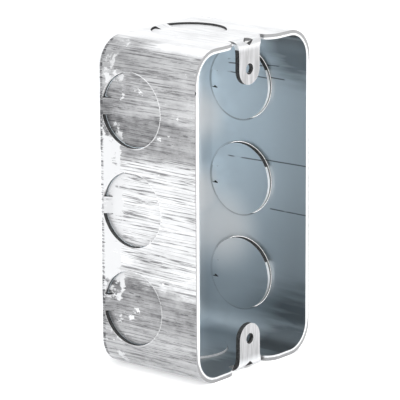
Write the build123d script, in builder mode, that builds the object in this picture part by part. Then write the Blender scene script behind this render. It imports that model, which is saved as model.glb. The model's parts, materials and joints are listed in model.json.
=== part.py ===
"""Drawn steel back box for wiring accessories, 4 by 2 1/8 inches and 46 mm deep.

The box is one pressed piece. It stands on one short end, with its open
front towards -Y. The origin is at the middle of the bottom, on the surface
that the box stands on. All sizes are in millimetres.
"""

import os
from math import sqrt

from build123d import *

# The pressing as a whole, measured outside.
box_height = 101.6
box_width = 54.0
box_depth = 46.0
sheet = 1.6

# Outside radii: of the four long corners, and of the nose round the back.
corner_radius = 9.2
nose_radius = 9.1

# Knockouts: discs sheared all round but for one tie, and pushed inwards.
knockout_diameter = 23.0
knockout_pitch = 30.4
side_knockout_push = 1.5
back_knockout_push = 1.5
end_knockout_push = 0.7
knockout_slit = 0.15
shear_overrun = 0.1
tie_width = 5.2
tie_root = 0.6
tie_length = 2.2
side_knockout_from_rim = 25.0
end_knockout_from_rim = 25.0
knockouts_in_a_row = 3

# Ears: tongues of the two end walls, bent in behind the rim.
ear_width = 9.5
ear_setback = 1.5
ear_bend_inner_radius = 0.5
ear_screw_spacing = 83.3
ear_screw_hole = 3.4
ear_root_width = 14.0
ear_flare_height = 2.6

# The rim drops back in a rounded corner on each side of an ear.
notch_width = 15.2
notch_rounding = 4.9

# The dart pressed into each bend from outside, to keep the ear stiff.
dart_width = 6.4
dart_depth = 2.6

# Holes in the back for screws or nails.
back_hole_diameter = 4.4
back_hole_spacing = 30.4

# What follows from the sizes above.
rim_y = -box_depth / 2
back_y = box_depth / 2
middle_z = box_height / 2
ear_bend_outer_radius = ear_bend_inner_radius + sheet
ear_face_y = rim_y + ear_setback
bend_start_y = ear_face_y + ear_bend_outer_radius
notch_depth = bend_start_y - rim_y
knockout_radius = knockout_diameter / 2
disc_radius = knockout_radius - knockout_slit


def drawn_form(inset):
    """The closed form of the drawn box, with its skin moved in by inset."""
    start = Plane(origin=(0, back_y - inset, middle_z), x_dir=(1, 0, 0), z_dir=(0, -1, 0))
    with BuildPart(mode=Mode.PRIVATE) as form:
        with BuildSketch(start):
            RectangleRounded(box_width - 2 * inset, box_height - 2 * inset, corner_radius - inset)
        extrude(amount=box_depth - inset)
        fillet(form.faces().sort_by(Axis.Y)[-1].edges(), nose_radius - inset)
    return form.part


def knockout(origin, outward, towards_tie, push):
    """Shear one disc out of the wall at origin and push it in on its tie.

    The shear runs on past the sheet, because a hole may reach into a bend.
    """
    face = Plane(origin=origin, x_dir=towards_tie, z_dir=outward)
    side_on = Plane(origin=origin, x_dir=towards_tie, z_dir=-face.y_dir)
    root = knockout_radius - tie_root
    bend = knockout_radius - tie_root - tie_length
    with BuildSketch(face) as hole:
        Circle(knockout_radius)
        with Locations((knockout_radius, 0)):
            Rectangle(2 * tie_root, tie_width, mode=Mode.SUBTRACT)
    extrude(hole.sketch, amount=-sheet - shear_overrun, mode=Mode.SUBTRACT)
    with BuildSketch(face.offset(-push)) as disc:
        Circle(disc_radius)
        with Locations((knockout_radius, 0)):
            Rectangle(2 * (knockout_radius - bend), tie_width + 2 * knockout_slit, mode=Mode.SUBTRACT)
    extrude(disc.sketch, amount=-sheet)
    with BuildSketch(side_on) as tie:
        with BuildLine():
            Polyline(
                (root, 0),
                (bend, -push),
                (bend, -push - sheet),
                (root, -sheet),
                close=True,
            )
        make_face()
    extrude(tie.sketch, amount=tie_width / 2, both=True)


def rim_notch(top_z):
    """Drop the rim back on both sides of an ear, through one end wall."""
    half = notch_width / 2
    with BuildSketch(Plane.XY.offset(top_z)) as notch:
        with BuildLine():
            right = EllipticalCenterArc(
                center=(half + notch_rounding, bend_start_y),
                x_radius=notch_rounding,
                y_radius=notch_depth,
                start_angle=180,
                arc_size=90,
            )
            left = EllipticalCenterArc(
                center=(-half - notch_rounding, bend_start_y),
                x_radius=notch_rounding,
                y_radius=notch_depth,
                start_angle=270,
                arc_size=90,
            )
            Line(right @ 0, left @ 1)
            Line(left @ 0, right @ 1)
        make_face()
    extrude(notch.sketch, amount=-sheet, mode=Mode.SUBTRACT)


def ear():
    """The ear of the top end wall: its bend, its tongue and its tapped hole."""
    outer = ear_bend_outer_radius
    hole_z = middle_z + ear_screw_spacing / 2
    tip_z = hole_z - ear_width / 2
    bend_end_z = box_height - outer
    flare_end_z = bend_end_z - ear_flare_height
    back_of_ear_y = ear_face_y + sheet
    with BuildPart(mode=Mode.PRIVATE) as tongue:
        with BuildSketch(Plane.YZ):
            with BuildLine():
                over = RadiusArc((bend_start_y, box_height), (ear_face_y, bend_end_z), -outer)
                front = Line(over @ 1, (ear_face_y, tip_z))
                tip = Line(front @ 1, (back_of_ear_y, tip_z))
                rear = Line(tip @ 1, (back_of_ear_y, bend_end_z))
                under = RadiusArc(rear @ 1, (bend_start_y, box_height - sheet), ear_bend_inner_radius)
                Line(under @ 1, over @ 0)
            make_face()
        extrude(amount=ear_root_width / 2, both=True)
        front_view = Plane(origin=(0, ear_face_y, 0), x_dir=(1, 0, 0), z_dir=(0, -1, 0))
        with BuildSketch(front_view):
            with BuildLine():
                half = ear_width / 2
                root = ear_root_width / 2
                head = Line((-root, box_height), (root, box_height))
                right_flare = EllipticalCenterArc(
                    center=(root, flare_end_z),
                    x_radius=root - half,
                    y_radius=box_height - flare_end_z,
                    start_angle=90,
                    arc_size=90,
                )
                right_side = Line(right_flare @ 1, (half, hole_z))
                end = ThreePointArc((half, hole_z), (0, tip_z), (-half, hole_z))
                left_side = Line(end @ 1, (-half, flare_end_z))
                EllipticalCenterArc(
                    center=(-root, flare_end_z),
                    x_radius=root - half,
                    y_radius=box_height - flare_end_z,
                    start_angle=0,
                    arc_size=90,
                )
            make_face()
        extrude(amount=-notch_depth - sheet, mode=Mode.INTERSECT)
        with BuildSketch(front_view):
            with Locations((0, hole_z)):
                Circle(ear_screw_hole / 2)
        extrude(amount=-sheet, mode=Mode.SUBTRACT)
    return tongue.part


def dart():
    """The dart pressed into the top bend from outside, and its skin inside.

    Both are four-sided pyramids that point in along the corner's bisector.
    """
    corner = Plane(origin=(0, ear_face_y, box_height), x_dir=(1, 0, 0), z_dir=(0, 1, -1))
    spread = dart_width / 2 / dart_depth
    facet_spread = spread / sqrt(2)
    raised_depth = dart_depth + sheet * sqrt(1 + facet_spread**2) / facet_spread
    reach = 2 * dart_width
    with BuildPart(mode=Mode.PRIVATE) as pressed:
        with BuildSketch(corner) as opening:
            RegularPolygon(spread * dart_depth, side_count=4)
        loft([opening.sketch, Vertex(*corner.offset(dart_depth).origin)])
    with BuildPart(mode=Mode.PRIVATE) as raised:
        with BuildSketch(Plane.YZ) as corner_block:
            with Locations((ear_face_y, box_height)):
                Rectangle(reach, reach, align=(Align.MIN, Align.MAX))
            outer_corner = corner_block.vertices().sort_by(Axis.Y)[-2:].sort_by(Axis.X)[0]
            fillet(outer_corner, ear_bend_outer_radius)
        extrude(amount=reach / 2, both=True)
        with BuildSketch(corner) as base:
            RegularPolygon(spread * raised_depth, side_count=4)
        loft([base.sketch, Vertex(*corner.offset(raised_depth).origin)], mode=Mode.INTERSECT)
    return pressed.part, raised.part


with BuildPart() as back_box:
    add(drawn_form(0))
    add(drawn_form(sheet), mode=Mode.SUBTRACT)
    rim_notch(box_height)
    rim_notch(sheet)
    top_ear = ear()
    pressed, raised = dart()
    for tool, mode in ((top_ear, Mode.ADD), (raised, Mode.ADD), (pressed, Mode.SUBTRACT)):
        add(tool, mode=mode)
        add(mirror(tool, about=Plane.XY.offset(middle_z), mode=Mode.PRIVATE), mode=mode)

    row = range(knockouts_in_a_row)
    heights = [middle_z + (i - (knockouts_in_a_row - 1) / 2) * knockout_pitch for i in row]
    side_y = rim_y + side_knockout_from_rim
    end_y = rim_y + end_knockout_from_rim
    for z in heights:
        knockout((-box_width / 2, side_y, z), (-1, 0, 0), (0, 1, 0), side_knockout_push)
        knockout((box_width / 2, side_y, z), (1, 0, 0), (0, 1, 0), side_knockout_push)
        knockout((0, back_y, z), (0, 1, 0), (0, 0, 1), back_knockout_push)
    knockout((0, end_y, box_height), (0, 0, 1), (0, 1, 0), end_knockout_push)
    knockout((0, end_y, 0), (0, 0, -1), (0, 1, 0), end_knockout_push)

    back_face = Plane(origin=(0, back_y, middle_z), x_dir=(1, 0, 0), z_dir=(0, 1, 0))
    with BuildSketch(back_face):
        with GridLocations(0, back_hole_spacing, 1, 2):
            Circle(back_hole_diameter / 2)
    extrude(amount=-sheet, mode=Mode.SUBTRACT)

back_box.part.label = "back_box"
os.makedirs("parts", exist_ok=True)
export_step(back_box.part, "parts/back_box.step")
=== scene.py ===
"""Dressed model of a drawn steel back box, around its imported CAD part.

The box stands on one short end, with its open front towards -Y and +Z up.
Its one CAD node is replaced by a copy of the same form whose sheared and
folded edges are rounded, and the tapped ear holes get their threads.
"""

import json
from math import hypot, pi, radians

import bmesh
import bpy
from bpy.props import FloatProperty, FloatVectorProperty, PointerProperty
from bpy.types import Operator, Panel, PropertyGroup
from mathutils import Matrix, Vector


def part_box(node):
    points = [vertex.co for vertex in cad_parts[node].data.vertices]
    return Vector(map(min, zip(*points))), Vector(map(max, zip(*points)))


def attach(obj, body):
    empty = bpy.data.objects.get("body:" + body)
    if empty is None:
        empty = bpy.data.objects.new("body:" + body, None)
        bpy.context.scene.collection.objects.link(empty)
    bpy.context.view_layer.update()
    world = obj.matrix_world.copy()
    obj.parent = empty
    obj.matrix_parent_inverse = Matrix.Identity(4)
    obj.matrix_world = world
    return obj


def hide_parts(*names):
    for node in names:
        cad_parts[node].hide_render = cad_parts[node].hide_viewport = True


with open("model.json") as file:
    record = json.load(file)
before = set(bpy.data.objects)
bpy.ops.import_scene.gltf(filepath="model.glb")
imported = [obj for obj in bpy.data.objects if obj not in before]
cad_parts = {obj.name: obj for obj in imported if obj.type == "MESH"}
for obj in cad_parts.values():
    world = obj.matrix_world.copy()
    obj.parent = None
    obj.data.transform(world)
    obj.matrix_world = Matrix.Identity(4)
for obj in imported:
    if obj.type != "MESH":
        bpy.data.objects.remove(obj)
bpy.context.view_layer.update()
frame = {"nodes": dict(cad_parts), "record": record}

bl_info = {
    "name": "Drawn back box",
    "version": (1, 0, 0),
    "blender": (4, 5, 0),
    "location": "View3D > Sidebar > Back Box",
    "description": "Dresses a drawn steel back box and sets up its studio",
    "category": "Add Mesh",
}

NODE = "back_box"
MM = 0.001

# What the dressing needs to know of the pressing, in millimetres.
LOW_CORNER, HIGH_CORNER = (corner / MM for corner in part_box(NODE))
HALF_WIDTH = HIGH_CORNER.x
RIM_Y = LOW_CORNER.y
BACK_Y = HIGH_CORNER.y
HEIGHT = HIGH_CORNER.z
MIDDLE_Z = HEIGHT / 2
SHEET = 1.6
CORNER_RADIUS = 9.2
NOSE_RADIUS = 9.1
NOSE_START_Y = BACK_Y - NOSE_RADIUS
EAR_SCREWS = {mount["name"]: mount for mount in frame["record"]["mounts"]}["ear_holes"]
EAR_FACE_Y = EAR_SCREWS["pos_m"][1] / MM
EAR_HOLE_RADIUS = EAR_SCREWS["dims"]["hole_r_mm"]
EAR_SCREW_SPACING = EAR_SCREWS["dims"]["spacing_y_mm"]
EAR_ROOT_WIDTH = 14.0
BEND_HEIGHT = 3.0
DART_WIDTH = 6.4
DISC_RADIUS = 11.35
DISC_PITCH = 30.4
DISC_MIDDLE_Y = RIM_Y + 25.0

# How far below the skin the discs still take the streaks of the wall around them.
DISC_REACH = 3.5

# Where the notches in the rim end, and where the bare strip before the nose starts.
NOTCH_END_Y = EAR_FACE_Y + 2.2
DIE_START_Y = 6.6

# The painted shadow ring behind each disc inside stands off the disc by this much.
RING_SETBACK = 1.2
RING_DROP = 0.4

# Heights between which the sides are worn grey, and between which the wear is heaviest.
UPPER_WEAR = (70.0, 100.0)
UPPER_HEAVY_WEAR = (69.0, 78.0)
LOWER_WEAR = (5.0, 27.0)
LOWER_HEAVY_WEAR = (17.0, 25.0)

# Heights over which the upper wear of the rear sets in, and between which the lower one lies.
UPPER_REAR_WEAR = (74.0, 82.0)
LOWER_REAR_WEAR = (26.0, 34.0)

# On the right wall's inside: the middles of the painted glows, which stand in for reflected light,
# and the ends of the scratches, as y and z.
UPPER_GLOW = (18.0, 69.0)
MIDDLE_GLOW = (18.0, 43.0)
LOWER_GLOW = (10.0, 34.0)
LONG_SCRATCH = ((5.6, 57.6), (RIM_Y, 58.1))
SHORT_SCRATCH = ((-9.3, 42.6), (RIM_Y, 42.6))
EAR_SCRATCHES = (
    ((5.7, 87.0), (-12.1, 87.9)),
    ((6.1, 84.2), (-14.1, 84.0)),
    ((6.1, 88.2), (-5.8, 89.4)),
)

# The dark nick in the rim, on the left side near the top.
NICK_HEIGHT = 89.7

# Edges sharper than the first angle are rounded, and those sharper than the second stay sharp.
ROUNDED_ANGLE = radians(35)
SHARP_ANGLE = radians(32)

WHITE = (1.0, 1.0, 1.0)

# The edge finish also serves as a painted highlight, and the shear finish as painted shade, on faces
# picked by the way they face.
OUTER_FINISH, INNER_FINISH, EAR_FINISH, RIM_FINISH, EDGE_AND_HIGHLIGHT_FINISH, SHEAR_AND_SHADE_FINISH = range(6)


class PressingSettings(PropertyGroup):
    """Sizes of the edges and threads that the dressing adds."""

    edge_rounding: FloatProperty(
        name="Edge rounding",
        description="Width of the rounding on sheared edges",
        default=0.18 * MM,
        min=0.0,
        subtype="DISTANCE",
        unit="LENGTH",
    )
    thread_pitch: FloatProperty(
        name="Thread pitch",
        description="Pitch of the screw thread in the ears",
        default=0.8 * MM,
        min=0.2 * MM,
        subtype="DISTANCE",
        unit="LENGTH",
    )
    thread_depth: FloatProperty(
        name="Thread depth",
        description="How far the thread's crests stand in from the hole's wall",
        default=0.35 * MM,
        min=0.01 * MM,
        subtype="DISTANCE",
        unit="LENGTH",
    )


class FinishSettings(PropertyGroup):
    """Colours of the galvanised steel."""

    bright_zinc: FloatVectorProperty(
        name="Bright zinc",
        description="Colour where the die has burnished the zinc",
        subtype="COLOR",
        default=(0.90, 0.91, 0.925),
        min=0.0,
        max=1.0,
    )
    # Also the colour of the painted shadow rings and lines.
    streaked_zinc: FloatVectorProperty(
        name="Streaked zinc",
        description="Colour of the darkest drawing streaks",
        subtype="COLOR",
        default=(0.07, 0.07, 0.075),
        min=0.0,
        max=1.0,
    )
    inner_zinc: FloatVectorProperty(
        name="Inner zinc",
        description="Colour of the smooth zinc inside the box",
        subtype="COLOR",
        default=(0.655, 0.715, 0.755),
        min=0.0,
        max=1.0,
    )
    ear_zinc: FloatVectorProperty(
        name="Ear zinc",
        description="Colour of the ears",
        subtype="COLOR",
        default=(0.53, 0.53, 0.54),
        min=0.0,
        max=1.0,
    )
    sheared_steel: FloatVectorProperty(
        name="Sheared steel",
        description="Colour of the cut edges",
        subtype="COLOR",
        default=(0.34, 0.34, 0.345),
        min=0.0,
        max=1.0,
    )


class StudioSettings(PropertyGroup):
    """Where the camera stands and how bright the studio is."""

    azimuth: FloatProperty(
        name="Azimuth",
        description="Direction of the view, from +Y towards +X",
        default=0.8729,
        subtype="ANGLE",
        unit="ROTATION",
    )
    elevation: FloatProperty(
        name="Elevation",
        description="How steeply the camera looks down",
        default=0.2496,
        subtype="ANGLE",
        unit="ROTATION",
    )
    roll: FloatProperty(
        name="Roll",
        description="Turn of the camera about its line of sight",
        default=-0.0054,
        subtype="ANGLE",
        unit="ROTATION",
    )
    distance: FloatProperty(
        name="Distance",
        description="From the camera to the middle of the view",
        default=0.91244,
        subtype="DISTANCE",
        unit="LENGTH",
    )
    lens: FloatProperty(
        name="Lens",
        description="Focal length in millimetres, on a 36 mm sensor",
        default=270.2,
    )
    aim_right: FloatProperty(
        name="Aim right",
        description="From the box's middle to the middle of the view, to the right",
        default=1.567 * MM,
        subtype="DISTANCE",
        unit="LENGTH",
    )
    aim_up: FloatProperty(
        name="Aim up",
        description="From the box's middle to the middle of the view, upwards",
        default=-1.759 * MM,
        subtype="DISTANCE",
        unit="LENGTH",
    )
    brightness: FloatProperty(
        name="Brightness",
        description="Strength of the light from all round",
        default=1.0,
        min=0.0,
    )


class Value:
    """A node's output that takes part in sums as a number does."""

    def __init__(self, maker, socket):
        self.maker = maker
        self.socket = socket

    def maths(self, operation, *others):
        """A Math node whose first input is this value."""
        inputs = dict(enumerate((self, *others)))
        return self.maker.node("ShaderNodeMath", {"operation": operation}, inputs)

    def __add__(self, other):
        return self.maths("ADD", other)

    __radd__ = __add__

    def __mul__(self, other):
        return self.maths("MULTIPLY", other)

    __rmul__ = __mul__

    def __sub__(self, other):
        return self.maths("SUBTRACT", other)

    def __rsub__(self, other):
        return self.maker.node("ShaderNodeMath", {"operation": "SUBTRACT"}, {0: other, 1: self})

    def __truediv__(self, other):
        return self.maths("DIVIDE", other)

    def __abs__(self):
        return self.maths("ABSOLUTE")

    def least(self, other):
        """The smaller of two values."""
        return self.maths("MINIMUM", other)

    def most(self, other):
        """The larger of two values."""
        return self.maths("MAXIMUM", other)

    def step(self, start, end):
        """0 up to start, 1 past end, and smooth between the two."""
        settings = {"interpolation_type": "SMOOTHSTEP"}
        inputs = {"Value": self, "From Min": start, "From Max": end}
        return self.maker.node("ShaderNodeMapRange", settings, inputs)

    def band(self, low, high, soft):
        """1 between low and high, falling to 0 over soft on both sides."""
        return self.step(low - soft, low) * (1 - self.step(high, high + soft))


class Finish:
    """Makes one material, with the nodes that its colour needs."""

    def __init__(self, name):
        self.material = bpy.data.materials.new(name)
        self.material.use_nodes = True
        self.tree = self.material.node_tree
        self.tree.nodes.clear()
        place = self.node("ShaderNodeTexCoord", {}, {}, "Object")
        self.place = self.vector("SCALE", place, Scale=1 / MM)
        self.x, self.y, self.z = (self.along(axis, self.place) for axis in "XYZ")

    def node(self, kind, settings, inputs, output=0):
        """Any node: its settings are set first, then its inputs, by name or number."""
        made = self.tree.nodes.new(kind)
        for name, setting in settings.items():
            setattr(made, name, setting)
        for name, value in inputs.items():
            if isinstance(value, Value):
                self.tree.links.new(value.socket, made.inputs[name])
            else:
                made.inputs[name].default_value = value
        return Value(self, made.outputs[output]) if made.outputs else None

    def vector(self, operation, *vectors, **others):
        """A Vector Math node."""
        inputs = {**dict(enumerate(vectors)), **others}
        return self.node("ShaderNodeVectorMath", {"operation": operation}, inputs)

    def along(self, axis, vector):
        """One of the three parts of a vector."""
        return self.node("ShaderNodeSeparateXYZ", {}, {"Vector": vector}, axis)

    def mix(self, share, first, second):
        """A blend of two colours."""
        inputs = {0: share, 6: self.colour(first), 7: self.colour(second)}
        return self.node("ShaderNodeMix", {"data_type": "RGBA"}, inputs, 2)

    def colour(self, value):
        """A colour with its alpha, or a link as it is."""
        return value if isinstance(value, Value) else (*value[:3], 1.0)

    def noise(self, stretch, detail=2.0, roughness=0.5, shift=(0.0, 0.0, 0.0)):
        """Noise from 0 to 1, with its grains per millimetre along each axis."""
        at = self.vector("MULTIPLY_ADD", self.place, stretch, shift)
        inputs = {"Vector": at, "Scale": 1.0, "Detail": detail, "Roughness": roughness}
        return self.node("ShaderNodeTexNoise", {"normalize": True}, inputs, "Fac")

    def level_discs(self):
        """Lets the noises run on from the walls across the discs pushed in from them."""
        x = self.x.least(HALF_WIDTH - DISC_REACH).most(DISC_REACH - HALF_WIDTH)
        x = x * (HALF_WIDTH / (HALF_WIDTH - DISC_REACH))
        z = self.z.least(HEIGHT - DISC_REACH / 2).most(DISC_REACH / 2)
        self.place = self.node("ShaderNodeCombineXYZ", {}, {"X": x, "Y": self.y, "Z": z})

    def below_sides(self):
        """How deep a point lies below the box's sides and ends, in millimetres."""
        past_x = abs(self.x) - (HALF_WIDTH - CORNER_RADIUS)
        past_z = abs(self.z - MIDDLE_Z) - (MIDDLE_Z - CORNER_RADIUS)
        round_x = past_x.most(0.0)
        round_z = past_z.most(0.0)
        past_corner = (round_x * round_x + round_z * round_z).maths("SQRT")
        return CORNER_RADIUS - past_corner - past_x.most(past_z).least(0.0)

    def disc_rings(self, middle_y, drop, inner, outer, soft):
        """1 on a ring round each disc in a row, between two distances from the disc's middle."""
        rings = 0.0
        for step in (-1, 0, 1):
            past_y = self.y - middle_y
            past_z = self.z - (MIDDLE_Z + step * DISC_PITCH - drop)
            off = (past_y * past_y + past_z * past_z).maths("SQRT")
            rings = off.band(inner, outer, soft).most(rings)
        return rings

    def behind_discs(self):
        """Painted shadow: 1 on a side wall's inside along the rear edge of each disc pushed in from
        it.
        """
        middle_y = DISC_MIDDLE_Y + RING_SETBACK
        rings = self.disc_rings(middle_y, RING_DROP, DISC_RADIUS - 0.1, DISC_RADIUS + 0.4, 0.25)
        inner_face = HALF_WIDTH - SHEET
        return rings * abs(self.x).step(inner_face - 0.8, inner_face - 0.3)

    def before_discs(self):
        """Painted highlight: 1 on a side wall's outside along the front edge of each hole that a
        disc left.
        """
        rings = self.disc_rings(DISC_MIDDLE_Y, 0.0, DISC_RADIUS + 0.1, DISC_RADIUS + 0.4, 0.1)
        in_front = 1 - self.y.step(DISC_MIDDLE_Y - 3.0, DISC_MIDDLE_Y + 1.0)
        return rings * in_front * abs(self.x).step(HALF_WIDTH - 0.5, HALF_WIDTH - 0.3)

    def scratch(self, start, end, grain):
        """1 on a scratch across a side wall, between two places given as y and z."""
        run = (self.y - start[0]) / (end[0] - start[0])
        off_line = abs(self.z - start[1] - (end[1] - start[1]) * run)
        ends = run.band(0.0, 1.0, 0.05)
        return ends * (1 - off_line.step(0.08, 0.28)) * grain.step(0.3, 0.45)

    def spot(self, place, inner, outer):
        """1 within the inner distance of a place, falling to 0 at the outer one."""
        inputs = {0: self.place, 1: place}
        off = self.node("ShaderNodeVectorMath", {"operation": "DISTANCE"}, inputs, "Value")
        return 1 - off.step(inner, outer)

    def bump(self, height, distance, strength=1.0):
        """A normal that follows a height of 0 to 1."""
        inputs = {"Height": height, "Distance": distance, "Strength": strength}
        return self.node("ShaderNodeBump", {}, inputs)

    def metal(self, colour, roughness, normal=None, metallic=1.0):
        """Ends the material in a metal shader."""
        inputs = {
            "Base Color": self.colour(colour),
            "Roughness": roughness,
            "Metallic": metallic,
        }
        if normal is not None:
            inputs["Normal"] = normal
        shader = self.node("ShaderNodeBsdfPrincipled", {}, inputs)
        self.node("ShaderNodeOutputMaterial", {}, {"Surface": shader})
        return self.material


def drawn_zinc(colours):
    """Outside: burnished zinc, with grey wear and streaks along the depth, a painted highlight along
    the front of each hole and a painted reflection on the nose.
    """
    finish = Finish("drawn_zinc")
    finish.level_discs()
    wide = finish.noise((0.75, 0.045, 0.75), detail=5.0, roughness=0.65)
    drawn = finish.noise((1.0, 0.022, 1.0), detail=2.8, roughness=0.5, shift=(5.0, 2.0, 9.0))
    fine = finish.noise((2.2, 0.17, 2.2), detail=5.0, roughness=0.7, shift=(3.0, 8.0, 5.0))
    patch = finish.noise((0.11, 0.07, 0.14), detail=5.0, roughness=0.65, shift=(1.0, 7.0, 3.0))
    blotch = finish.noise((0.24, 0.20, 0.26), detail=6.0, roughness=0.65, shift=(8.0, 1.0, 2.0))

    # Grey wear, in an upper and a lower band on the sides, heavier towards the rear.
    height = finish.z + 14.0 * (patch - 0.5)
    on_side = abs(finish.x).step(HALF_WIDTH - 6.0, HALF_WIDTH - 2.5)
    rear_corner = abs(finish.x).step(HALF_WIDTH - CORNER_RADIUS, HALF_WIDTH - 5.0)
    on_side = on_side.most(rear_corner * height.step(90.0, 98.0) * finish.y.step(-8.0, 4.0))
    worn = 0.28 * height.band(*UPPER_WEAR, 5.0) + 0.17 * height.band(*UPPER_HEAVY_WEAR, 4.0)
    worn = worn + 0.29 * height.band(*LOWER_WEAR, 4.0) + 0.14 * height.band(*LOWER_HEAVY_WEAR, 4.0)
    worn = worn + 0.10 * height.step(*UPPER_REAR_WEAR) * finish.y.step(-8.0, 6.0)
    worn = worn + 0.13 * height.band(*LOWER_REAR_WEAR, 3.0) * finish.y.step(-14.0, -2.0)
    worn = on_side * worn

    # The tone, from 0 for streaked zinc to 1 for bright zinc.
    on_back = finish.y.step(BACK_Y - 4.0, BACK_Y - 2.0)
    tone = 0.77 - 0.07 * on_side - 0.2 * on_back - worn
    tone = tone + 0.45 * (patch - 0.5) + 0.45 * (wide - 0.5)
    tone = tone + 1.1 * worn * (blotch - 0.5)
    tone = tone + 0.5 * blotch.step(0.66, 0.69)

    # Dark hair lines and flecks along the way the sheet was drawn.
    hairs = (1 - abs(drawn - 0.5).step(0.008, 0.045)) * fine.step(0.38, 0.52)
    flecks = fine.step(0.42, 0.36) * (0.08 + 0.5 * worn)
    hairs = hairs * (0.54 - 0.9 * worn)
    tone = tone - (hairs + flecks) * (0.25 + 0.75 * on_side)

    # A painted highlight along the front edge of each hole, and a bare, ragged strip before the
    # nose.
    painted_highlight = finish.before_discs() * (0.3 + 0.7 * fine.step(0.4, 0.5))
    tone = tone + (0.3 + 0.25 * height.step(60.0, 70.0)) * painted_highlight * (0.95 - tone)
    ragged = finish.y + 5.0 * (blotch - 0.5) + 3.0 * (fine - 0.5)
    strip = ragged.band(DIE_START_Y, NOSE_START_Y - 0.5, 0.3) * on_side
    grey_ends = finish.z.step(75.0, 80.0) + 1 - finish.z.step(19.0, 26.0)
    bare = (blotch - 0.16 * grey_ends).step(0.41, 0.46)
    tone = tone + strip * bare * (0.66 - tone)

    # A nose made bright by a painted reflection, behind a broken dark line where it starts.
    nose = finish.y.step(NOSE_START_Y - 0.2, NOSE_START_Y + 0.5) * (1 - on_back)
    tangent = finish.y.band(NOSE_START_Y - 0.8, NOSE_START_Y - 0.1, 0.3) * on_side
    tone = tone - 0.42 * tangent * fine.step(0.46, 0.56)
    tone = (tone + nose).most(0.0).least(0.88)
    colour = finish.mix(tone, colours.streaked_zinc, colours.bright_zinc)
    normal = finish.bump(wide, distance=0.03 * MM, strength=0.5)
    return finish.metal(colour, roughness=0.36 + 0.14 * patch, normal=normal, metallic=0.45)


def inner_zinc(colours):
    """Inside: smooth bluish zinc, scratched, with painted light towards the back and in glows,
    painted shade and dark reflections towards the rim, the top and the bottom, and painted shadow
    rings behind the discs.
    """
    finish = Finish("inner_zinc")
    cloud = finish.noise((0.05, 0.05, 0.06), detail=3.0)
    grain = finish.noise((1.2, 0.15, 1.2), detail=3.0)
    smear = finish.noise((0.16, 0.025, 0.2), detail=4.0, shift=(4.0, 4.0, 4.0))
    # Painted light: lighter zinc towards the back, in clouds.
    bright = finish.y.step(-4.0, 14.0) * (0.2 + 0.8 * cloud.step(0.42, 0.62))
    # Painted shade and dark reflections: darker towards the rim, at the bottom and at the top, in
    # smeared streaks.
    near_rim = 1 - finish.y.step(-21.0, 2.0)
    low = 1 - finish.z.step(6.0, 27.0)
    top = finish.z.step(78.0, 92.0)
    painted_shade = (low + 1.2 * top) * near_rim * smear.step(0.33, 0.6) + 0.3 * near_rim + 0.25 * low
    side = HALF_WIDTH - SHEET
    # Painted glows: white, non-metal patches that stand in for reflected light.
    glow = finish.spot((side, *UPPER_GLOW), inner=2.0, outer=12.0)
    glow = glow.most(finish.spot((side, *MIDDLE_GLOW), inner=3.0, outer=12.0))
    glow = glow.most(finish.spot((side, *LOWER_GLOW), inner=3.0, outer=18.0))
    glow = glow * (0.8 + 0.2 * cloud)
    scratches = 0.0
    for start, end in (LONG_SCRATCH, SHORT_SCRATCH, *EAR_SCRATCHES):
        scratches = finish.scratch(start, end, grain).most(scratches)
    scratches = scratches * finish.x.step(side - 2.0, side - 1.6)
    painted_light_zinc = tuple(1.25 * part for part in colours.inner_zinc)
    painted_shade_zinc = tuple(0.35 * part for part in colours.inner_zinc)
    colour = finish.mix(bright, colours.inner_zinc, painted_light_zinc)
    colour = finish.mix(painted_shade.least(1.0), colour, painted_shade_zinc)
    colour = finish.mix(glow, colour, WHITE)
    # Painted shadow along the rear edge of each disc.
    rings = finish.behind_discs() * (0.25 + 0.75 * cloud.step(0.38, 0.6))
    colour = finish.mix(0.5 * rings, colour, colours.streaked_zinc)
    colour = finish.mix(0.85 * scratches, colour, colours.streaked_zinc)
    return finish.metal(colour, roughness=0.36 + 0.08 * grain, metallic=1 - glow)


def brushed_ear(colours):
    """Ears: bright zinc, brushed along the ear and brightest in the bend."""
    finish = Finish("brushed_ear")
    grain = finish.noise((1.6, 1.6, 0.10), detail=4.0, roughness=0.65)
    in_bend = abs(finish.z - MIDDLE_Z).step(MIDDLE_Z - 4.0, MIDDLE_Z - 1.5)
    colour = finish.mix(grain.step(0.35, 0.7), colours.ear_zinc, colours.sheared_steel)
    colour = finish.mix(0.75 * in_bend, colour, colours.bright_zinc)
    normal = finish.bump(grain, distance=0.03 * MM, strength=0.6)
    return finish.metal(colour, roughness=0.38, normal=normal)


def rim_steel(colours):
    """The trimmed rim: a grey torn band outside, a bright cut band inside."""
    finish = Finish("rim_steel")
    grain = finish.noise((1.2, 1.2, 1.2), detail=4.0, roughness=0.65)
    at_ends = abs(finish.z - MIDDLE_Z).step(MIDDLE_Z - CORNER_RADIUS - 4.0, MIDDLE_Z - 4.0)
    torn_width = 0.4 + 0.6 * at_ends
    bright = (finish.below_sides() - torn_width + 0.4 * (grain - 0.5)).step(-0.1, 0.1)
    nick = finish.spot((-HALF_WIDTH, RIM_Y, NICK_HEIGHT), inner=0.4, outer=0.8)
    colour = finish.mix(0.9 * bright, colours.sheared_steel, colours.bright_zinc)
    colour = finish.mix(nick, colour, colours.streaked_zinc)
    normal = finish.bump(grain, distance=0.02 * MM, strength=0.6)
    return finish.metal(colour, roughness=0.42, normal=normal)


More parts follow.
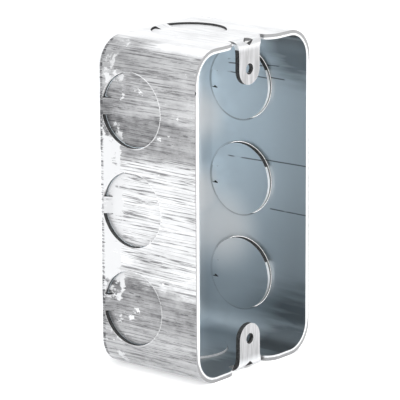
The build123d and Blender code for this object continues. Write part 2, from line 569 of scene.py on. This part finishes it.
def burnished_edge_and_highlight(colours):
    """Rounded edges and faces given a painted highlight: bright zinc, partly burnished and partly
    painted highlight, with painted shadow along the cut next to a wall's inside and at the dart's
    top.
    """
    finish = Finish("burnished_edge_and_highlight")
    grain = finish.noise((0.8, 0.8, 0.8), detail=3.0)
    at_side = abs(finish.x).step(HALF_WIDTH - 6.0, HALF_WIDTH - 5.0)
    # Painted shadow in the slit next to a side wall's inside.
    line = finish.below_sides().band(SHEET / 2, SHEET + 0.5, 0.15) * at_side
    before_notch_end = 1 - finish.y.step(NOTCH_END_Y, NOTCH_END_Y + 1)
    # Painted shadow at the dart's top.
    painted_dart_shadow = finish.z.step(HEIGHT - 1.2, HEIGHT - 0.8) * before_notch_end
    colour = finish.mix(grain.step(0.35, 0.6), colours.bright_zinc, WHITE)
    colour = finish.mix(0.9 * line.most(painted_dart_shadow), colour, colours.streaked_zinc)
    return finish.metal(colour, roughness=0.4, metallic=0.5)


def sheared_steel(colours):
    """Walls of the holes, sides of the ears and faces given painted shade: dark, torn steel, its
    darkness partly painted shade.
    """
    finish = Finish("sheared_steel")
    grain = finish.noise((1.5, 1.5, 1.5), detail=4.0, roughness=0.65)
    dark = tuple(0.09 * part for part in colours.sheared_steel)
    lighter = tuple(0.30 * part for part in colours.sheared_steel)
    colour = finish.mix(grain.step(0.3, 0.75), dark, lighter)
    normal = finish.bump(grain, distance=0.03 * MM, strength=0.6)
    return finish.metal(colour, roughness=0.75, normal=normal, metallic=0.4)


def round_off(first, second, radius):
    """How far a point lies past a rounded corner, from its two distances past the corner's start."""
    if first > 0 and second > 0:
        return hypot(first, second) - radius
    return max(first, second) - radius


def depth_below_skin(point):
    """How deep a point, in millimetres, lies below the drawn form's outer skin."""
    past_x = abs(point.x) - (HALF_WIDTH - CORNER_RADIUS)
    past_z = abs(point.z - MIDDLE_Z) - (MIDDLE_Z - CORNER_RADIUS)
    past_sides = round_off(past_x, past_z, CORNER_RADIUS)
    return -round_off(past_sides + NOSE_RADIUS, point.y - NOSE_START_Y, NOSE_RADIUS)


def outward_at(point):
    """The direction in which the skin faces nearest to a point, in millimetres."""
    reach = 0.01
    slopes = []
    for axis in (Vector((1, 0, 0)), Vector((0, 1, 0)), Vector((0, 0, 1))):
        ahead = depth_below_skin(point + reach * axis)
        slopes.append(depth_below_skin(point - reach * axis) - ahead)
    return Vector(slopes).normalized()


def ear_finish_of(middle, normal, outward, rounded):
    """The number of the finish of one face of an ear, its bend or its dart."""
    in_bend = abs(middle.z - MIDDLE_Z) > MIDDLE_Z - BEND_HEIGHT
    in_dart = in_bend and abs(middle.x) < DART_WIDTH / 2 and outward > 0
    on_upper_ear = middle.z > MIDDLE_Z
    dart_facet = in_dart and 0.4 < abs(normal.x) < 0.7
    side = abs(normal.x) > 0.6
    tip_or_hole_wall = abs(normal.y) < 0.3 and outward < 0.5
    # The dart's facets: the upper ear's rear-left facets take a painted highlight, the rest painted
    # shade.
    if dart_facet:
        painted_highlight = on_upper_ear and normal.x < 0 and normal.y < -0.5
        return EDGE_AND_HIGHLIGHT_FINISH if painted_highlight else SHEAR_AND_SHADE_FINISH
    # Rounded edges facing the front take a painted highlight. Sides, tips and hole walls take
    # painted shade, but for those in the upper ear's bend, which take a painted highlight.
    if rounded and normal.y < -0.2:
        return EDGE_AND_HIGHLIGHT_FINISH
    if side or tip_or_hole_wall:
        return EDGE_AND_HIGHLIGHT_FINISH if in_bend and on_upper_ear else SHEAR_AND_SHADE_FINISH
    return EAR_FINISH if normal.y < 0.2 or outward > 0.5 else INNER_FINISH


def finish_of(face, rounded):
    """The number of the finish of one face of the pressing, which may be a rounded edge."""
    middle = face.calc_center_median() / MM
    normal = face.normal
    depth = depth_below_skin(middle)
    outward = outward_at(middle).dot(normal)
    on_ear = abs(middle.x) < EAR_ROOT_WIDTH / 2 and middle.y < EAR_FACE_Y + 2 * SHEET
    if on_ear:
        return ear_finish_of(middle, normal, outward, rounded)
    on_rim = middle.y < RIM_Y + 0.3 and normal.y < -0.3
    in_notch = middle.y < NOTCH_END_Y and depth < SHEET and abs(outward) < 0.8
    if on_rim or in_notch:
        return RIM_FINISH
    # Rounded edges: at the holes, and on the discs' front and lower sides, a painted highlight;
    # elsewhere painted shade.
    if rounded and abs(outward) > 0.3:
        faces_up_and_back = normal.y > 0.3 and normal.z > -0.4
        painted_highlight = normal.z < 0.3 and not faces_up_and_back
        on_hole = outward > 0 and depth < 0.3
        on_disc = outward <= 0 and depth > SHEET + 0.3
        return EDGE_AND_HIGHLIGHT_FINISH if on_hole or (on_disc and painted_highlight) else SHEAR_AND_SHADE_FINISH
    # Cut walls facing down, and inside the discs' walls up to a steeper slope, take a painted
    # highlight; the rest painted shade.
    cut_wall = abs(outward) < 0.5
    if cut_wall:
        highest_painted_highlight = 0.45 if depth > 0.75 * SHEET else -0.25
        return EDGE_AND_HIGHLIGHT_FINISH if normal.z < highest_painted_highlight else SHEAR_AND_SHADE_FINISH
    return OUTER_FINISH if outward > 0 else INNER_FINISH


def new_piece(shape, name, finishes):
    """Makes a finished piece of a bmesh, riding on the frame."""
    mesh = bpy.data.meshes.new(name)
    shape.to_mesh(mesh)
    shape.free()
    for finish in finishes:
        mesh.materials.append(finish)
    piece = bpy.data.objects.new(name, mesh)
    bpy.context.scene.collection.objects.link(piece)
    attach(piece, "root")
    return piece


class BACKBOX_OT_pressing(Operator):
    """Make the drawn box, with its cut edges rounded"""

    bl_idname = "back_box.pressing"
    bl_label = "Drawn box"

    def execute(self, context):
        sizes = context.scene.back_box_pressing
        colours = context.scene.back_box_finish
        shape = bmesh.new()
        shape.from_mesh(frame["nodes"][NODE].data)
        bmesh.ops.remove_doubles(shape, verts=shape.verts, dist=0.002 * MM)
        bmesh.ops.dissolve_limit(
            shape,
            angle_limit=radians(0.5),
            use_dissolve_boundaries=False,
            verts=shape.verts,
            edges=shape.edges,
        )
        sharp = [
            edge
            for edge in shape.edges
            if edge.is_manifold and edge.calc_face_angle() > ROUNDED_ANGLE
        ]
        bevelled = bmesh.ops.bevel(
            shape,
            geom=sharp,
            offset=sizes.edge_rounding,
            offset_type="OFFSET",
            segments=2,
            profile=0.5,
            affect="EDGES",
            material=-1,
            clamp_overlap=True,
        )
        rounded = set(bevelled["faces"])
        for face in shape.faces:
            face.smooth = True
            face.material_index = finish_of(face, face in rounded)
        finishes = [
            drawn_zinc(colours),
            inner_zinc(colours),
            brushed_ear(colours),
            rim_steel(colours),
            burnished_edge_and_highlight(colours),
            sheared_steel(colours),
        ]
        piece = new_piece(shape, "drawn_box", finishes)
        piece.data.set_sharp_from_angle(angle=SHARP_ANGLE)
        even = piece.modifiers.new("even_walls", "WEIGHTED_NORMAL")
        even.keep_sharp = True
        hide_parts(NODE)
        return {"FINISHED"}


class BACKBOX_OT_threads(Operator):
    """Make the screw thread in both ears"""

    bl_idname = "back_box.threads"
    bl_label = "Ear threads"

    def execute(self, context):
        sizes = context.scene.back_box_pressing
        colours = context.scene.back_box_finish
        steel = sheared_steel(colours)
        radius = EAR_HOLE_RADIUS * MM
        root_share = 0.9
        half_root = root_share * sizes.thread_pitch / 2
        turns = (SHEET * MM - 2 * half_root) / sizes.thread_pitch
        steps_per_turn = 32
        overlap = 0.02 * MM
        for name, side in (("upper_ear_thread", 1), ("lower_ear_thread", -1)):
            centre_z = (MIDDLE_Z + side * EAR_SCREW_SPACING / 2) * MM
            start_y = EAR_FACE_Y * MM + half_root
            centre = Vector((0.0, start_y, centre_z))
            wall = radius + overlap
            crest = radius - sizes.thread_depth
            shape = bmesh.new()
            corners = [
                shape.verts.new(centre + Vector((wall, -half_root, 0.0))),
                shape.verts.new(centre + Vector((crest, 0.0, 0.0))),
                shape.verts.new(centre + Vector((wall, half_root, 0.0))),
            ]
            profile = shape.faces.new(corners)
            steps = round(steps_per_turn * turns)
            bmesh.ops.spin(
                shape,
                geom=[profile, *profile.edges, *profile.verts],
                cent=centre,
                axis=(0.0, 1.0, 0.0),
                dvec=(0.0, sizes.thread_pitch * turns / steps, 0.0),
                angle=2 * pi * turns,
                steps=steps,
                use_merge=False,
                use_duplicate=False,
            )
            bmesh.ops.recalc_face_normals(shape, faces=shape.faces)
            new_piece(shape, name, [steel])
        return {"FINISHED"}


class BACKBOX_OT_stage(Operator):
    """Make the floor, the lights and the camera"""

    bl_idname = "back_box.stage"
    bl_label = "Stage"

    def execute(self, context):
        studio = context.scene.back_box_studio
        self.add_floor()
        self.add_sky(context.scene, studio.brightness)
        key_power = 3.0 * studio.brightness
        overhead_power = 22.0 * studio.brightness
        self.add_light("key", place=(-0.9, -0.5, 1.1), size=0.9, power=key_power)
        self.add_light("overhead", place=(0.0, 0.0, 1.6), size=2.2, power=overhead_power)
        self.add_camera(context.scene, studio)
        context.scene.view_settings.view_transform = "Standard"
        return {"FINISHED"}

    def add_floor(self):
        shape = bmesh.new()
        bmesh.ops.create_grid(shape, x_segments=1, y_segments=1, size=3.0)
        mesh = bpy.data.meshes.new("floor")
        shape.to_mesh(mesh)
        shape.free()
        paper = bpy.data.materials.new("white_paper")
        paper.use_nodes = True
        shader = paper.node_tree.nodes["Principled BSDF"]
        shader.inputs["Base Color"].default_value = (0.95, 0.95, 0.95, 1.0)
        shader.inputs["Roughness"].default_value = 0.9
        shader.inputs["Emission Color"].default_value = (*WHITE, 1.0)
        shader.inputs["Emission Strength"].default_value = 0.25
        mesh.materials.append(paper)
        floor = bpy.data.objects.new("floor", mesh)
        bpy.context.scene.collection.objects.link(floor)

    def add_sky(self, scene, brightness):
        world = bpy.data.worlds.new("studio")
        world.use_nodes = True
        sky = world.node_tree.nodes["Background"]
        sky.inputs["Color"].default_value = (*WHITE, 1.0)
        sky.inputs["Strength"].default_value = 0.92 * brightness
        scene.world = world

    def add_light(self, name, place, size, power):
        lamp = bpy.data.lights.new(name, "AREA")
        lamp.shape = "DISK"
        lamp.size = size
        lamp.energy = power
        light = bpy.data.objects.new(name, lamp)
        light.location = place
        aim = Vector((0.0, 0.0, MIDDLE_Z * MM)) - Vector(place)
        light.rotation_euler = aim.to_track_quat("-Z", "Y").to_euler()
        bpy.context.scene.collection.objects.link(light)

    def add_camera(self, scene, studio):
        lens = bpy.data.cameras.new("camera")
        lens.sensor_width = 36.0
        lens.lens = studio.lens
        lens.clip_start = 0.01
        camera = bpy.data.objects.new("camera", lens)
        turn = (
            Matrix.Rotation(-studio.azimuth, 4, "Z")
            @ Matrix.Rotation(pi / 2 - studio.elevation, 4, "X")
            @ Matrix.Rotation(studio.roll, 4, "Z")
        )
        middle = Vector((0.0, 0.0, MIDDLE_Z * MM))
        offset = Vector((studio.aim_right, studio.aim_up, studio.distance))
        camera.matrix_world = Matrix.Translation(middle + turn.to_3x3() @ offset) @ turn
        scene.collection.objects.link(camera)
        scene.camera = camera


class BACKBOX_PT_panel(Panel):
    """Lists the sizes, colours and pieces of the back box"""

    bl_idname = "BACKBOX_PT_panel"
    bl_label = "Back box"
    bl_space_type = "VIEW_3D"
    bl_region_type = "UI"
    bl_category = "Back Box"

    def draw(self, context):
        scene = context.scene
        for settings in (scene.back_box_pressing, scene.back_box_finish, scene.back_box_studio):
            column = self.layout.column()
            for name in settings.bl_rna.properties.keys():
                if name not in ("rna_type", "name"):
                    column.prop(settings, name)
        for operator in (BACKBOX_OT_pressing, BACKBOX_OT_threads, BACKBOX_OT_stage):
            self.layout.operator(operator.bl_idname)


CLASSES = (
    PressingSettings,
    FinishSettings,
    StudioSettings,
    BACKBOX_OT_pressing,
    BACKBOX_OT_threads,
    BACKBOX_OT_stage,
    BACKBOX_PT_panel,
)


def register():
    for part in CLASSES:
        bpy.utils.register_class(part)
    bpy.types.Scene.back_box_pressing = PointerProperty(type=PressingSettings)
    bpy.types.Scene.back_box_finish = PointerProperty(type=FinishSettings)
    bpy.types.Scene.back_box_studio = PointerProperty(type=StudioSettings)


def unregister():
    del bpy.types.Scene.back_box_studio
    del bpy.types.Scene.back_box_finish
    del bpy.types.Scene.back_box_pressing
    for part in reversed(CLASSES):
        bpy.utils.unregister_class(part)


def main():
    register()
    bpy.ops.back_box.pressing()
    bpy.ops.back_box.threads()
    bpy.ops.back_box.stage()


if __name__ == "__main__":
    main()
